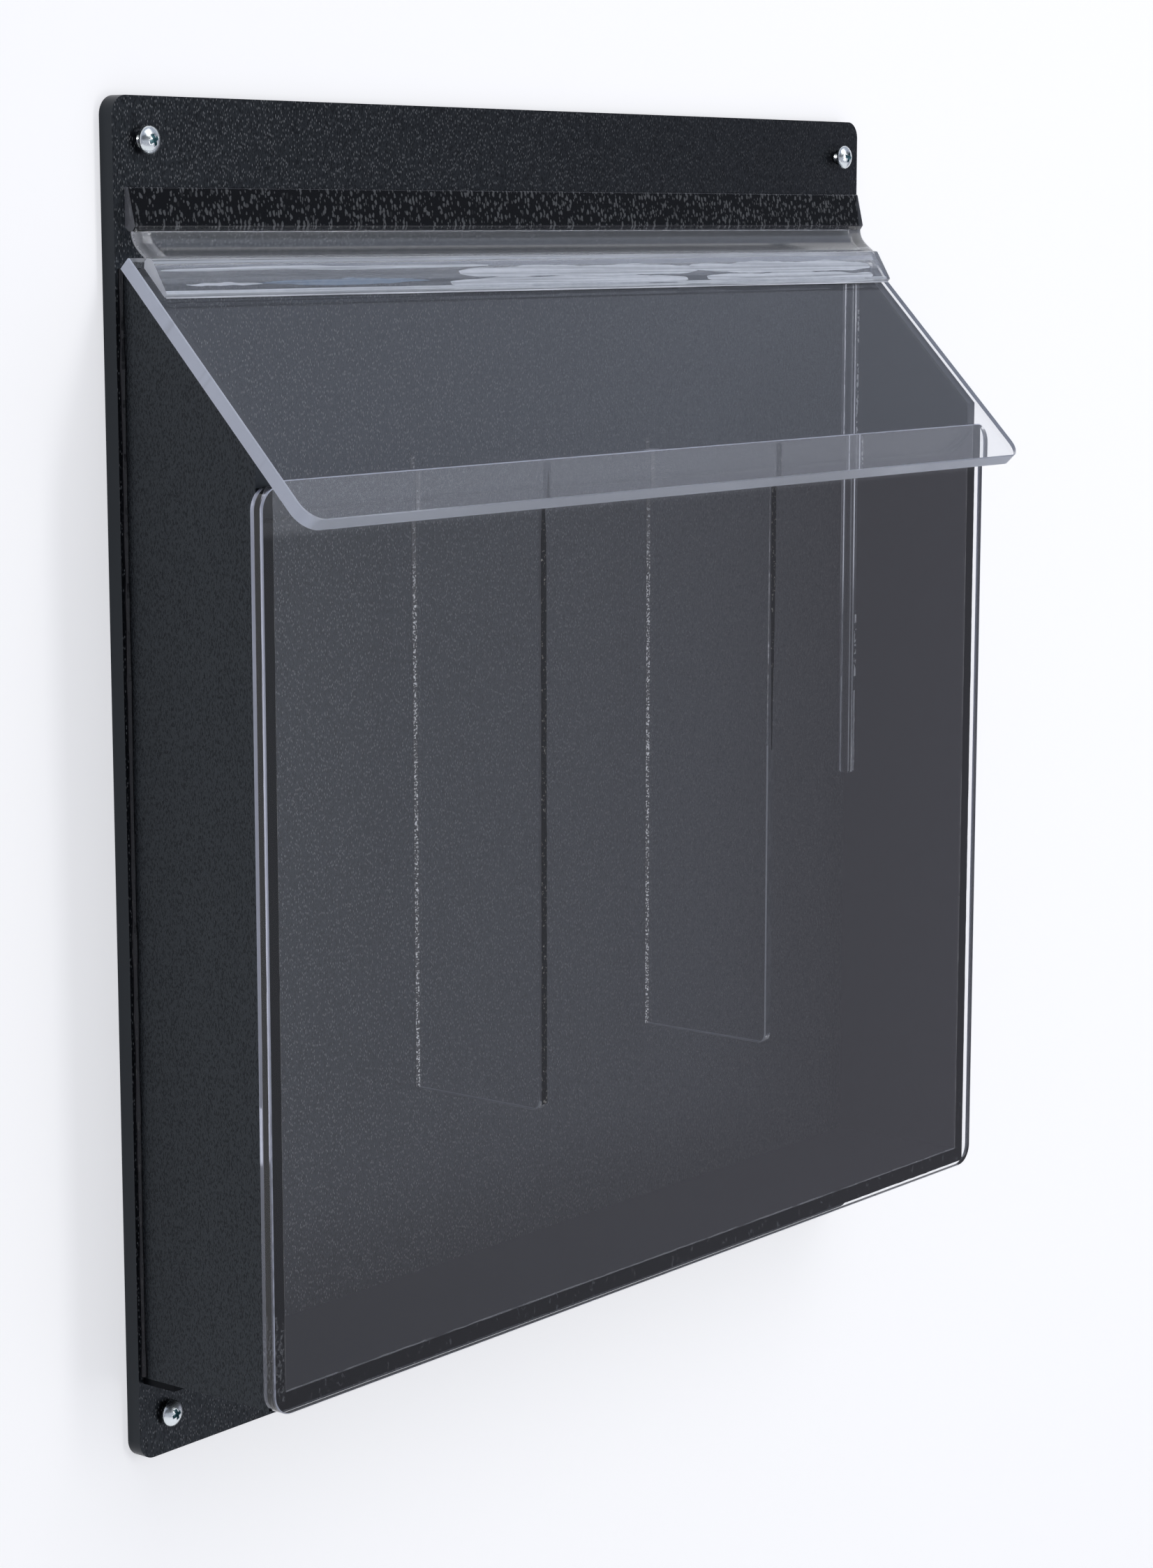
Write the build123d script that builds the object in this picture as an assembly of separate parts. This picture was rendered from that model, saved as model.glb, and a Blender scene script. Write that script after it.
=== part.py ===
"""Wall mounted leaflet box: a black plate and box with a clear front, dividers and a hinged lid.

X runs to the right along the wall, Y into the wall and Z up. The origin is the centre of the
back plate's rear face.
"""

import os
from math import cos, radians, sin, sqrt

from build123d import *

# Sheet thicknesses: plate and floor, side panels, clear front and lid, clear dividers
plate_t = 4.5
side_t = 4.0
clear_t = 4.0
divider_t = 3.0

# Back plate
plate_w = 330.0
plate_h = 354.0
plate_r = 5.0

# Mounting screws and their holes
screw_inset_x = 10.7
screw_inset_z = 11.0
hole_r = 2.25
neck_r = 1.75
neck_l = 6.6
thread_r = 1.95
thread_l = 19.0
tip_l = 4.0
head_r = 3.6
head_h = 2.4
head_rim = 0.8
proud_top = 1.9
proud_bottom = 1.0

# Box of side panels, floor and clear front
box_depth = 45.0
side_inset = 2.0
panel_r = 6.0
panel_rise = 22.0
panel_gap = 2.6
side_lift = 0.7
arris = 0.25

# Flat strip under the floor, in the corner with the plate
under_w = 11.0
under_t = 1.7

# Lid
lid_angle = 46.0
lid_side = 1.0
lid_l = 86.9
lid_r = 6.0
lid_drop = 39.9
lid_gap = 0.95
rest_gap = 0.3

# Dividers, one fewer than the pockets
pockets = 3
divider_rise = 53.8
divider_drop = 1.0
divider_r = 3.0

# Square bars in the rear inner corners
strip_w = 4.0
strip_l = 155.0
strip_drop = 10.0

# Hinge strip: two tapered leaves and a thin curved web
hinge_left_in = 2.9
hinge_right_in = 0.3
leaf_l = 11.0
leaf_thin = 1.25
leaf_thick = 3.5
leaf_heel = 1.0
leaf_nose = 1.3
leaf_inset = 2.6
leaf_rise = 6.4
web_t = 0.6
web_v = 1.9

# Places that follow from the sizes above
plate_front = -plate_t
panel_back = plate_front - box_depth
panel_front = panel_back - clear_t
panel_bottom = -plate_h / 2 + panel_rise
box_bottom = panel_bottom + side_lift
floor_top = box_bottom + plate_t
side_out = plate_w / 2 - side_inset
side_in = side_out - side_t
slope_cos = cos(radians(lid_angle))
slope_sin = sin(radians(lid_angle))
lid_w = plate_w - 2 * lid_side
lid_y = plate_front - lid_gap - clear_t * slope_sin
lid_z = plate_h / 2 - lid_drop
hinge_x0 = -lid_w / 2 + hinge_left_in
hinge_x1 = lid_w / 2 - hinge_right_in
hinge_l = hinge_x1 - hinge_x0


def on_lid(down, out):
    """Y and Z of a point so far down the lid's top face and so far out from it."""
    y = lid_y - down * slope_cos - out * slope_sin
    z = lid_z - down * slope_sin + out * slope_cos
    return y, z


def under_lid(y, gap):
    """Height at depth y that leaves this gap, square to the lid, under the closed lid."""
    out = -(clear_t + gap)
    down = (lid_y - out * slope_sin - y) / slope_cos
    return on_lid(down, out)[1]


def sheet(points, x0, x1):
    """Flat sheet with this outline in Y and Z, running from x0 to x1."""
    outline = make_face(Polyline([(x0, y, z) for y, z in points], close=True))
    return extrude(outline, amount=x1 - x0, dir=(1, 0, 0))


def block(x0, x1, y0, y1, z0, z1):
    """Rectangular piece between these limits."""
    size = Box(x1 - x0, y1 - y0, z1 - z0)
    return Pos((x0 + x1) / 2, (y0 + y1) / 2, (z0 + z1) / 2) * size


def upright(width, height, radius, y_back, thick, z_mid):
    """Upright sheet with rounded corners, its rear face at y_back."""
    face = Plane.XZ * RectangleRounded(width, height, radius)
    return Pos(0, y_back, z_mid) * extrude(face, amount=thick)


# Back plate, drilled for the screws
screw_x = plate_w / 2 - screw_inset_x
screw_z = plate_h / 2 - screw_inset_z
back_plate = upright(plate_w, plate_h, plate_r, 0, plate_t, 0)
for x in (-screw_x, screw_x):
    for z in (-screw_z, screw_z):
        back_plate -= Pos(x, plate_front / 2, z) * Rot(90, 0, 0) * Cylinder(hole_r, 3 * plate_t)

# Pan head screws, turned about their own axis, the upper pair driven less deep
shank = [(neck_r, 0), (neck_r, neck_l), (thread_r, neck_l + thread_r - neck_r)]
shank += [(thread_r, neck_l + thread_l), (0, neck_l + thread_l + tip_l), (0, -head_h)]
dome_h = head_h - head_rim
dome_r = (head_r**2 + dome_h**2) / (2 * dome_h)
dome_mid = (head_r / 2, dome_r - head_h - sqrt(dome_r**2 - head_r**2 / 4))
crown = ThreePointArc((0, -head_h), dome_mid, (head_r, -head_rim))
outline = crown + Polyline([(head_r, -head_rim), (head_r, 0)] + shank)
screw = revolve(make_face(outline), Axis.Y)
screws = []
for x in (-screw_x, screw_x):
    for z, proud in ((-screw_z, proud_bottom), (screw_z, proud_top)):
        screws.append(Pos(x, plate_front - proud, z) * screw)
mounting_screws = Compound(children=screws)

# Side panels, their sloped top edges parallel to the lid
side_top = under_lid(plate_front, rest_gap)
side_outline = [
    (plate_front, box_bottom),
    (panel_back, box_bottom),
    (panel_back, under_lid(panel_back, rest_gap)),
    (plate_front, side_top),
]
left_side = sheet(side_outline, -side_out, -side_in)
right_side = sheet(side_outline, side_in, side_out)

# Floor between the side panels, and the strip under it
floor_panel = block(-side_in, side_in, panel_back, plate_front, box_bottom, floor_top)
under_y = plate_front - under_w
under_strip = block(-side_out, side_out, under_y, plate_front, box_bottom - under_t, box_bottom)

# Clear front panel, a little wider and lower than the box behind it
panel_top = under_lid(panel_front, 0) - panel_gap
panel_mid = (panel_bottom + panel_top) / 2
panel_h = panel_top - panel_bottom
front_panel = upright(plate_w, panel_h, panel_r, panel_back, clear_t, panel_mid)
front_panel = chamfer(front_panel.faces().sort_by(Axis.Y)[0].edges(), arris)

# Dividers, spaced for equal pockets and stopping above the floor
pocket_w = (2 * side_in - (pockets - 1) * divider_t) / pockets
divider_top = panel_top - divider_drop
divider_low = floor_top + divider_rise
dividers = []
for i in range(1, pockets):
    x = -side_in + i * pocket_w + (i - 1) * divider_t
    bar = block(x, x + divider_t, panel_back, plate_front, divider_low, divider_top)
    low_front = bar.edges().filter_by(Axis.X).group_by(Axis.Z)[0].sort_by(Axis.Y)[0]
    dividers.append(fillet(low_front, divider_r))

# Corner bars where the side panels meet the plate
strip_top = side_top - strip_drop
strip_y = plate_front - strip_w
strip_z = strip_top - strip_l
corner_strip_left = block(-side_in, strip_w - side_in, strip_y, plate_front, strip_z, strip_top)
corner_strip_right = block(side_in - strip_w, side_in, strip_y, plate_front, strip_z, strip_top)

# Lid: square upper corners under the hinge, rounded lower corners over the front panel
lid_plane = Plane(origin=(0, lid_y, lid_z), x_dir=(1, 0, 0), z_dir=(0, -slope_sin, slope_cos))
lid_face = Pos(0, -lid_l / 2) * Rectangle(lid_w, lid_l)
lid_face = fillet(lid_face.vertices().group_by(Axis.Y)[0], lid_r)
lid_panel = lid_plane * extrude(lid_face, amount=-clear_t)
lid_top = lid_panel.faces().filter_by(lid_plane).sort_by(Axis.Z)[-1]
lid_panel = chamfer(lid_top.edges(), arris)

# Hinge leaves: one tapered section, thick at the web and thin at the far edge
leaf_outline = Polyline(
    [
        (leaf_heel, 0),
        (leaf_l, 0),
        (leaf_l, leaf_thin),
        (leaf_nose, leaf_thick),
        (0, web_v + web_t),
        (0, web_v - web_t),
    ],
    close=True,
)
leaf_face = make_face(leaf_outline)
leaf_tips = leaf_face.vertices().sort_by(Axis.Y)
leaf_face = fillet(leaf_tips[-1], leaf_thick * 0.2)
leaf_face = fillet(leaf_face.vertices().sort_by(Axis.X)[-1], leaf_thin * 0.4)
leaf_z = lid_z + leaf_rise
upper_plane = Plane(origin=(hinge_x0, plate_front, leaf_z), x_dir=(0, 0, 1), z_dir=(1, 0, 0))
hinge_upper_leaf = extrude(upper_plane * leaf_face, amount=hinge_l)
lower_plane = Plane(
    origin=(hinge_x1, *on_lid(leaf_inset, 0)),
    x_dir=(0, -slope_cos, -slope_sin),
    z_dir=(-1, 0, 0),
)
hinge_lower_leaf = extrude(lower_plane * leaf_face, amount=hinge_l)

# Hinge web: leaves the upper leaf straight down and meets the lower leaf at a shallow angle
web_top = Vector(0, plate_front - web_v, leaf_z)
web_end = Vector(0, *on_lid(leaf_inset, web_v))
web_dir = Vector(0, -cos(radians(0.8 * lid_angle)), -sin(radians(0.8 * lid_angle)))
bow = [
    web_top,
    web_top + Vector(0, 0, -leaf_rise / 2),
    web_end - web_dir * (leaf_rise * 0.56),
    web_end,
]
across = []
for before, after in ((bow[0], bow[1]), (bow[0], bow[2]), (bow[1], bow[3]), (bow[2], bow[3])):
    along = (after - before).normalized()
    across.append(Vector(0, along.Z, -along.Y) * (web_t / 2))
outer = [p + a for p, a in zip(bow, across)]
inner = [p - a for p, a in zip(bow, across)]
web_wire = Bezier(*outer) + Line(outer[3], inner[3]) + Bezier(*inner[::-1]) + Line(inner[0], outer[0])
web_face = Pos(hinge_x0, 0, 0) * make_face(web_wire)
hinge_web = extrude(web_face, amount=hinge_l, dir=(1, 0, 0)) - hinge_upper_leaf - hinge_lower_leaf

nodes = {
    "back_plate": back_plate,
    "left_side": left_side,
    "right_side": right_side,
    "floor_panel": floor_panel,
    "under_strip": under_strip,
    "front_panel": front_panel,
    "divider_left": dividers[0],
    "divider_right": dividers[-1],
    "corner_strip_left": corner_strip_left,
    "corner_strip_right": corner_strip_right,
    "hinge_upper_leaf": hinge_upper_leaf,
    "hinge_web": hinge_web,
    "hinge_lower_leaf": hinge_lower_leaf,
    "lid_panel": lid_panel,
    "mounting_screws": mounting_screws,
}

os.makedirs("parts", exist_ok=True)
for name, shape in nodes.items():
    export_step(shape, f"parts/{name}.step")
    box = shape.bounding_box()
    print(f"{name:20s} volume {shape.volume:10.1f}  min {box.min}  max {box.max}")
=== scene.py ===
# %% [markdown]
# # A wall box for leaflets
# The box is black plastic sheet and clear acrylic sheet, glued edge to edge, with a clear lid on a
# soft extruded hinge and four zinc screws. The frame already holds every sheet at its true place, so
# this lesson gives the sheets their finishes and then adds what the workshop leaves on them: weld
# films, glue lines, smears, the bent web of the hinge and properly cut screws.

import math

import bmesh
import bpy
from mathutils import Euler, Matrix, Vector, noise


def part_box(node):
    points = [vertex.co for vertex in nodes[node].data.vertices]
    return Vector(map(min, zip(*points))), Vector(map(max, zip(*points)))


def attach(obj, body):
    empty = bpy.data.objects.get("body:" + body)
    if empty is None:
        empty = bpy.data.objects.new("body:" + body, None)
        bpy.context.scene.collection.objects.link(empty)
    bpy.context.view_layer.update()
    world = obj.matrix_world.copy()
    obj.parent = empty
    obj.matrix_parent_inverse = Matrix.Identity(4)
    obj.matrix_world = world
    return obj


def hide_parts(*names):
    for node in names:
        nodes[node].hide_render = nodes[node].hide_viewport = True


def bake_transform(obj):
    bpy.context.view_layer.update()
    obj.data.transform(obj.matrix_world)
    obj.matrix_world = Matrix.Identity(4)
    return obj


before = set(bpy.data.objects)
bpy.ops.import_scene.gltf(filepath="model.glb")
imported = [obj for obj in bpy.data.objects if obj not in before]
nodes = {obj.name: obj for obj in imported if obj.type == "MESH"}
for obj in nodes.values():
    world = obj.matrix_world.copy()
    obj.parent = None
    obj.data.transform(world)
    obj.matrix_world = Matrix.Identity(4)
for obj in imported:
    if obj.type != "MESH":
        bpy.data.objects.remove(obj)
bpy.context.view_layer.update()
MM = 0.001
scene = bpy.context.scene
scene.view_settings.view_transform = "Standard"

# %% [markdown]
# ## The camera
# The picture was taken from the left, a little above the box, about a metre away with a short
# telephoto. The place, the turn and the lens were worked out from the straight edges of the plate
# and the front sheet, so that every edge falls where the picture has it. The picture is a crop of a
# larger frame, and a small shift of the lens stands for that crop.

# %% Camera
picture_wide, picture_high = 1652, 2247
focal_pixels = 5207.39
middle_x, middle_y = 822.67, 1231.15
camera_place = Vector((-814.78, -663.83, 145.5)) * MM
camera_turn_right, camera_tip_down = 51.693, 9.925

camera_data = bpy.data.cameras.new("camera")
camera_data.sensor_width = 36
camera_data.lens = focal_pixels / picture_high * camera_data.sensor_width
camera_data.shift_x = (picture_wide / 2 - middle_x) / picture_high
camera_data.shift_y = (middle_y - picture_high / 2) / picture_high
camera_data.clip_start = 0.01
camera = bpy.data.objects.new("camera", camera_data)
camera.location = camera_place
tip_up, turn_left = math.radians(90 - camera_tip_down), math.radians(-camera_turn_right)
camera.rotation_euler = Euler((tip_up, 0, turn_left))
scene.collection.objects.link(camera)
scene.camera = camera
print("lens", round(camera_data.lens, 2), "mm, shift", round(camera_data.shift_y, 4))

# %% [markdown]
# ## Helpers for shader nodes
# A finish is a small graph. `add` makes one node and fills its sockets: a socket of another node is
# linked and a plain value is set. `grain` gives a noise on the piece's own coordinates, stretched as
# asked, and `between` turns a value into a soft mask. Short helpers like these keep each finish down
# to the few lines that say what it looks like.

# %% Shader helpers
def add(tree, kind, sockets=None, **settings):
    """One shader node, with its settings, and its inputs set or linked by name or number."""
    made = tree.nodes.new("ShaderNode" + kind)
    for key, value in settings.items():
        setattr(made, key, value)
    for key, value in (sockets or {}).items():
        if isinstance(value, bpy.types.NodeSocket):
            tree.links.new(value, made.inputs[key])
        else:
            made.inputs[key].default_value = value
    return made


def finish(name):
    """A new material with an empty graph: (material, its tree, its output node)."""
    made = bpy.data.materials.new(name)
    made.use_nodes = True
    made.node_tree.nodes.clear()
    return made, made.node_tree, made.node_tree.nodes.new("ShaderNodeOutputMaterial")


def own_place(tree):
    """The point being shaded, in the piece's own frame."""
    return add(tree, "TexCoord").outputs["Object"]


def grain(tree, per_metre, stretch=(1, 1, 1), detail=2.0, warp=0.0):
    """Noise from 0 to 1 with so many lumps to the metre, drawn out where stretch is under 1."""
    scale = [per_metre * s for s in stretch]
    mapped = add(tree, "Mapping", {"Vector": own_place(tree), "Scale": scale}).outputs[0]
    sockets = {"Vector": mapped, "Scale": 1.0, "Detail": detail, "Distortion": warp}
    return add(tree, "TexNoise", sockets).outputs[0]


def between(tree, value, low, high, start=0.0, end=1.0):
    """Value eased from start at low to end at high."""
    sockets = {"Value": value, "From Min": low, "From Max": high, "To Min": start, "To Max": end}
    return add(tree, "MapRange", sockets, interpolation_type="SMOOTHSTEP").outputs[0]


def sums(tree, operation, a, b):
    """Two values put together by one sum, such as MULTIPLY or MAXIMUM."""
    return add(tree, "Math", {0: a, 1: b}, operation=operation).outputs[0]


def place_along(tree, axis):
    """Where the point lies along X, Y or Z."""
    return add(tree, "SeparateXYZ", {0: own_place(tree)}).outputs[axis]


def facing(tree, direction):
    """How far the surface faces this way, from -1 to 1, in the piece's own frame."""
    normal = add(tree, "TexCoord").outputs["Normal"]
    return add(tree, "VectorMath", {0: normal, 1: direction}, operation="DOT_PRODUCT").outputs["Value"]


def blended(tree, share, first, second):
    """Colour that runs from first to second as share goes from 0 to 1."""
    return add(tree, "Mix", {0: share, 6: first, 7: second}, data_type="RGBA").outputs[2]


def mixed(tree, share, first, second):
    """Shader that runs from first to second as share goes from 0 to 1."""
    return add(tree, "MixShader", {0: share, 1: first.outputs[0], 2: second.outputs[0]})


def cover(tree, out, shader):
    """Makes this shader the surface of the finish."""
    tree.links.new(shader.outputs[0], out.inputs["Surface"])


# %% [markdown]
# ## The wall
# The box hangs on a plain white wall, and its soft shadow on that wall is part of the picture. One
# sheet stands for the wall and, far below, runs round a cove into a pale floor. Seen from behind it
# lets everything through, and it has an opening hidden behind the plate, so that the back of the box
# can be looked at in the light.

# %% Wall and floor
wall_half, floor_drop, floor_run, cove, cove_steps = 2.4, 1.25, 2.2, 0.25, 10
hidden_rim = 3.0 * MM
plate_low, plate_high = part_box("back_plate")

bm = bmesh.new()
upright = Matrix.Rotation(math.radians(90), 4, "X")
bmesh.ops.create_grid(bm, x_segments=1, y_segments=1, size=wall_half, matrix=upright)
bmesh.ops.inset_individual(bm, faces=bm.faces[:], thickness=wall_half / 2)
middle = min(bm.faces, key=lambda f: max(abs(v.co.x) for v in f.verts))
for v in middle.verts:
    v.co.x = math.copysign(plate_high.x - hidden_rim, v.co.x)
    v.co.z = math.copysign(plate_high.z - hidden_rim, v.co.z)
bmesh.ops.delete(bm, geom=[middle], context="FACES_ONLY")
for v in bm.verts:
    if v.co.z < -wall_half / 2:
        v.co.z = -floor_drop
foot = [e for e in bm.edges if all(v.co.z < -floor_drop * 0.99 for v in e.verts)]
run = bmesh.ops.extrude_edge_only(bm, edges=foot)["geom"]
floor_edge = [v for v in run if isinstance(v, bmesh.types.BMVert)]
bmesh.ops.translate(bm, verts=floor_edge, vec=(0, -floor_run, 0))
bmesh.ops.bevel(
    bm, geom=foot, offset=cove, segments=cove_steps, profile=0.5, affect="EDGES", material=-1
)
for f in bm.faces:
    f.smooth = True
bmesh.ops.recalc_face_normals(bm, faces=bm.faces[:])
if sum((f.normal * f.calc_area() for f in bm.faces), Vector()).y > 0:
    bmesh.ops.reverse_faces(bm, faces=bm.faces[:])
bmesh.ops.translate(bm, verts=bm.verts[:], vec=(0, plate_high.y, 0))
wall_mesh = bpy.data.meshes.new("wall")
bm.to_mesh(wall_mesh)
bm.free()
wall = bpy.data.objects.new("wall", wall_mesh)
scene.collection.objects.link(wall)
print("wall of", len(wall_mesh.polygons), "faces, opening behind the plate")

# %% [markdown]
# The wall's paint takes the lamps, so the shadow stays, and a little light of its own for what looks
# at it straight, in a mirror or through glass lifts it to the white of a studio background.

# %% Wall paint
wall_colour, rolled_colour = (0.67, 0.665, 0.665, 1), (0.65, 0.645, 0.645, 1)
wall_glow, wall_lift = (0.975, 0.98, 1, 1), 0.55
roller_lumps = 220

paint, tree, out = finish("studio_wall")
path = add(tree, "LightPath").outputs
looked_at = sums(tree, "MAXIMUM", path["Is Camera Ray"], path["Is Glossy Ray"])
looked_at = sums(tree, "MAXIMUM", looked_at, path["Is Transmission Ray"])
lift = sums(tree, "MULTIPLY", looked_at, wall_lift)
roller = between(tree, grain(tree, roller_lumps), 0.3, 0.7, 0.985, 1.0)
coat = add(tree, "BsdfDiffuse", {"Color": blended(tree, roller, rolled_colour, wall_colour)})
own = add(tree, "Emission", {"Color": wall_glow, "Strength": lift})
seen = add(tree, "AddShader", {0: coat.outputs[0], 1: own.outputs[0]})
from_behind = add(tree, "NewGeometry").outputs["Backfacing"]
cover(tree, out, mixed(tree, from_behind, seen, add(tree, "BsdfTransparent")))
wall_mesh.materials.append(paint)
print("wall painted, lifted by", wall_lift)

# %% [markdown]
# ## Studio light
# A large soft lamp stands high on the right, so the box throws a faint wide shadow to the left. A
# narrower lamp in front picks out the moulded grain, and a weak one behind the wall shows the back
# of the plate through the opening. The rest is a slightly blue room, which is what the sheets mirror:
# a little brighter straight out from the wall, darker low down, and with a dim gap above level that
# the top of the plate and the hinge mirror. What looks at the room straight sees it plain and pale.

# %% Lamps
white, warm_white = (1.0, 1.0, 1.0), (1.0, 0.99, 0.97)


def softbox(name, place, wide, high, watts, colour):
    """A rectangular soft lamp at this place, in metres, turned towards the box."""
    data = bpy.data.lights.new(name, "AREA")
    data.shape, data.size, data.size_y = "RECTANGLE", wide, high
    data.energy, data.color = watts, colour
    lamp = bpy.data.objects.new(name, data)
    lamp.location = place
    lamp.rotation_euler = (-Vector(place)).to_track_quat("-Z", "Y").to_euler()
    scene.collection.objects.link(lamp)
    print(name, watts, "watts")


softbox("key_lamp", (0.5, -2.9, 2.6), 2.6, 2.6, 31, warm_white)
softbox("front_lamp", (0.42, -1.4, 0.1), 0.2, 0.9, 4.0, white)
softbox("rear_lamp", (0.3, 1.8, 0.6), 1.0, 1.0, 30, white)

# %% Room
near_colour, far_colour = (0.50, 0.525, 0.595, 1), (0.39, 0.39, 0.46, 1)
high_colour, dim_colour = (0.42, 0.45, 0.54, 1), (0.12, 0.13, 0.15, 1)
straight_colour = (0.95, 0.955, 0.97, 1)
gap_foot, gap_head, gap_side = (-0.04, 0.06), (0.42, 0.54), (-0.5, -0.35)

room = bpy.data.worlds.new("room")
room.use_nodes = True
tree = room.node_tree
tree.nodes.clear()
ray = add(tree, "SeparateXYZ", {0: add(tree, "TexCoord").outputs["Generated"]}).outputs
height, ahead = ray["Z"], ray["Y"]
above, below = between(tree, height, *gap_foot), between(tree, height, *gap_head, 1.0, 0.0)
gap = sums(tree, "MULTIPLY", above, below)
gap = sums(tree, "MULTIPLY", gap, between(tree, ahead, *gap_side, 1.0, 0.0))
glow = blended(tree, between(tree, ahead, -0.72, -0.50), near_colour, far_colour)
glow = blended(tree, between(tree, height, -0.42, -0.18, 1.0, 0.0), glow, far_colour)
glow = blended(tree, between(tree, height, 0.0, 0.5), glow, high_colour)
glow = blended(tree, gap, glow, dim_colour)
mirrored = add(tree, "Background", {"Color": glow, "Strength": 1.0})
straight = add(tree, "Background", {"Color": straight_colour, "Strength": 1.0})
looked_at = add(tree, "LightPath").outputs["Is Camera Ray"]
sky = tree.nodes.new("ShaderNodeOutputWorld")
cover(tree, sky, mixed(tree, looked_at, mirrored, straight))
scene.world = room

guided_bounces, clear_layers = 48, 24
scene.cycles.max_bounces = guided_bounces
scene.cycles.glossy_bounces = guided_bounces
scene.cycles.transmission_bounces = guided_bounces
scene.cycles.transparent_max_bounces = clear_layers
print("light may bounce", guided_bounces, "times inside the clear sheets")

# %% [markdown]
# ## Black moulded sheet
# Black ABS sheet comes with a fine pressed grain on its good face and a plain, duller back, and a saw
# leaves its edges nearly as shiny as the face. The grain is made of short upright pebbles, like combed
# hair: cells drawn out upwards, each one a small dome. Some of them, picked by the chance that each
# cell carries, are painted paler on top as glints of the grain, and this painted light fades out
# towards the right. The worm-like pits between them mirror less. The grain is masked by the way the
# face looks, so that one finish serves the good face, the back and the edges of a sheet.

# %% Black sheet finish
hair_cells, hair_tall, hair_high = 1850, 0.40, 0.06 * MM
worm_lumps, worm_tall, fine_lumps, cloud_lumps = 1.5 * hair_cells, 0.42, 5200, 28
back_share, sawn_share = 0.55, 0.9
# Painted light: the span over which the painted glints on the pebble tops fade out towards the right.
glint_fade_left, glint_fade_right, least_glint = plate_low.x + 15 * MM, plate_high.x - 35 * MM, 0.3
deep_black, sheet_black = (0.003, 0.0033, 0.0042, 1), (0.0055, 0.006, 0.0075, 1)
mirror_tint = (0.76, 0.88, 1.0, 1)


def pebbles(tree, per_metre, tall, turn):
    """Upright pebbles, laid on the face by turn: distance from each one's middle, and its chance."""
    scale = (per_metre, per_metre, per_metre * tall)
    mapped = add(tree, "Mapping", {"Vector": own_place(tree), "Rotation": turn, "Scale": scale})
    sockets = {"Vector": mapped.outputs[0], "Scale": 1.0, "Randomness": 1.0}
    cells = add(tree, "TexVoronoi", sockets, voronoi_dimensions="2D")
    chance = add(tree, "SeparateColor", {0: cells.outputs["Color"]}).outputs[0]
    return cells.outputs["Distance"], chance


def black_sheet(name, good_face, turn, glint_hue, shine=0.42, deep=0.5, pressing=1.0):
    """Black ABS with a hair grain pressed into the face that looks along good_face.

    Shine is how much that face mirrors, deep how much less its pits do, and pressing the share of the
    grain that is left.
    """
    made, tree, out = finish(name)
    look = facing(tree, good_face)
    pressed = between(tree, look, 0.5, 0.8, 0.0, pressing)
    middle, chance = pebbles(tree, hair_cells, hair_tall, turn)
    worms = grain(tree, worm_lumps, (1, 1, worm_tall), 1.5)
    fine = grain(tree, fine_lumps, detail=1.0)
    cloud = grain(tree, cloud_lumps, detail=3.0)
    # Painted light: the pebble tops are painted paler as glints of the grain, fading from left to right.
    glint_fade = between(tree, place_along(tree, "X"), glint_fade_left, glint_fade_right, 1.0, least_glint)
    tips = between(tree, middle, 0.12, 0.32, 1.0, 0.0)
    tips = sums(tree, "MULTIPLY", tips, between(tree, chance, 0.30, 1.0))
    tips = sums(tree, "MULTIPLY", tips, sums(tree, "MULTIPLY", glint_fade, pressed))
    hue = blended(tree, tips, blended(tree, cloud, deep_black, sheet_black), glint_hue)
    rough = between(tree, fine, 0.2, 0.8, 0.27, 0.36)
    rough = sums(tree, "ADD", rough, sums(tree, "MULTIPLY", cloud, 0.08))
    pits = sums(tree, "MULTIPLY", between(tree, worms, 0.36, 0.54, deep, 0.0), pressed)
    plain = between(tree, look, -0.8, -0.2, shine * back_share, shine * sawn_share)
    mirror = between(tree, pressed, 0.0, 1.0, plain, shine)
    mirror = sums(tree, "MULTIPLY", mirror, sums(tree, "SUBTRACT", 1.0, pits))
    relief = sums(tree, "MULTIPLY", sums(tree, "ADD", worms, tips), pressed)
    relief = sums(tree, "ADD", relief, sums(tree, "MULTIPLY", fine, 0.03))
    bump = add(tree, "Bump", {"Height": relief, "Strength": 1.0, "Distance": hair_high})
    sockets = {"Base Color": hue, "Roughness": rough, "Normal": bump.outputs[0], "IOR": 1.5}
    sockets.update({"Specular IOR Level": mirror, "Specular Tint": mirror_tint})
    cover(tree, out, add(tree, "BsdfPrincipled", sockets))
    return made


def dress(node, material):
    """Gives a carried-over node this finish."""
    mesh = nodes[node].data
    mesh.materials.clear()
    mesh.materials.append(material)


# %% Black sheets
quarter = math.radians(90)
plate_turn, side_turn, floor_turn = (quarter, 0, 0), (quarter, quarter, 0), (0, 0, 0)
# The pale grey on the plate's pebble tops is a painted glint.
painted_glint_grey, plain_tip = (0.20, 0.205, 0.21, 1), (0.012, 0.013, 0.015, 1)
side_shine, floor_shine, strip_shine = 0.44, 0.34, 0.08

dress("back_plate", black_sheet("black_abs_plate", (0, -1, 0), plate_turn, painted_glint_grey))
dress("left_side", black_sheet("black_abs_left", (-1, 0, 0), side_turn, plain_tip, side_shine))
dress("right_side", black_sheet("black_abs_right", (1, 0, 0), side_turn, plain_tip, side_shine))
dress("floor_panel", black_sheet("black_abs_floor", (0, 0, -1), floor_turn, plain_tip, floor_shine))
strip_black = black_sheet(
    "black_abs_strip", (0, 0, -1), floor_turn, plain_tip, strip_shine, deep=0.3, pressing=0.2
)
dress("under_strip", strip_black)
print("black sheets dressed")

# %% [markdown]
# ## Clear acrylic sheet
# Acrylic is polished on its two faces and satin on its sawn edges. Light that enters a face runs
# along inside the sheet and comes out of the edges, which is why those look pale and full of light.
# A shader that bends light gives all that by itself, as long as rays may bounce often enough.
# Lamps are let straight through, because light that has to find its way through a bent path would
# leave the inside of the box noisy and dark.

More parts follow.
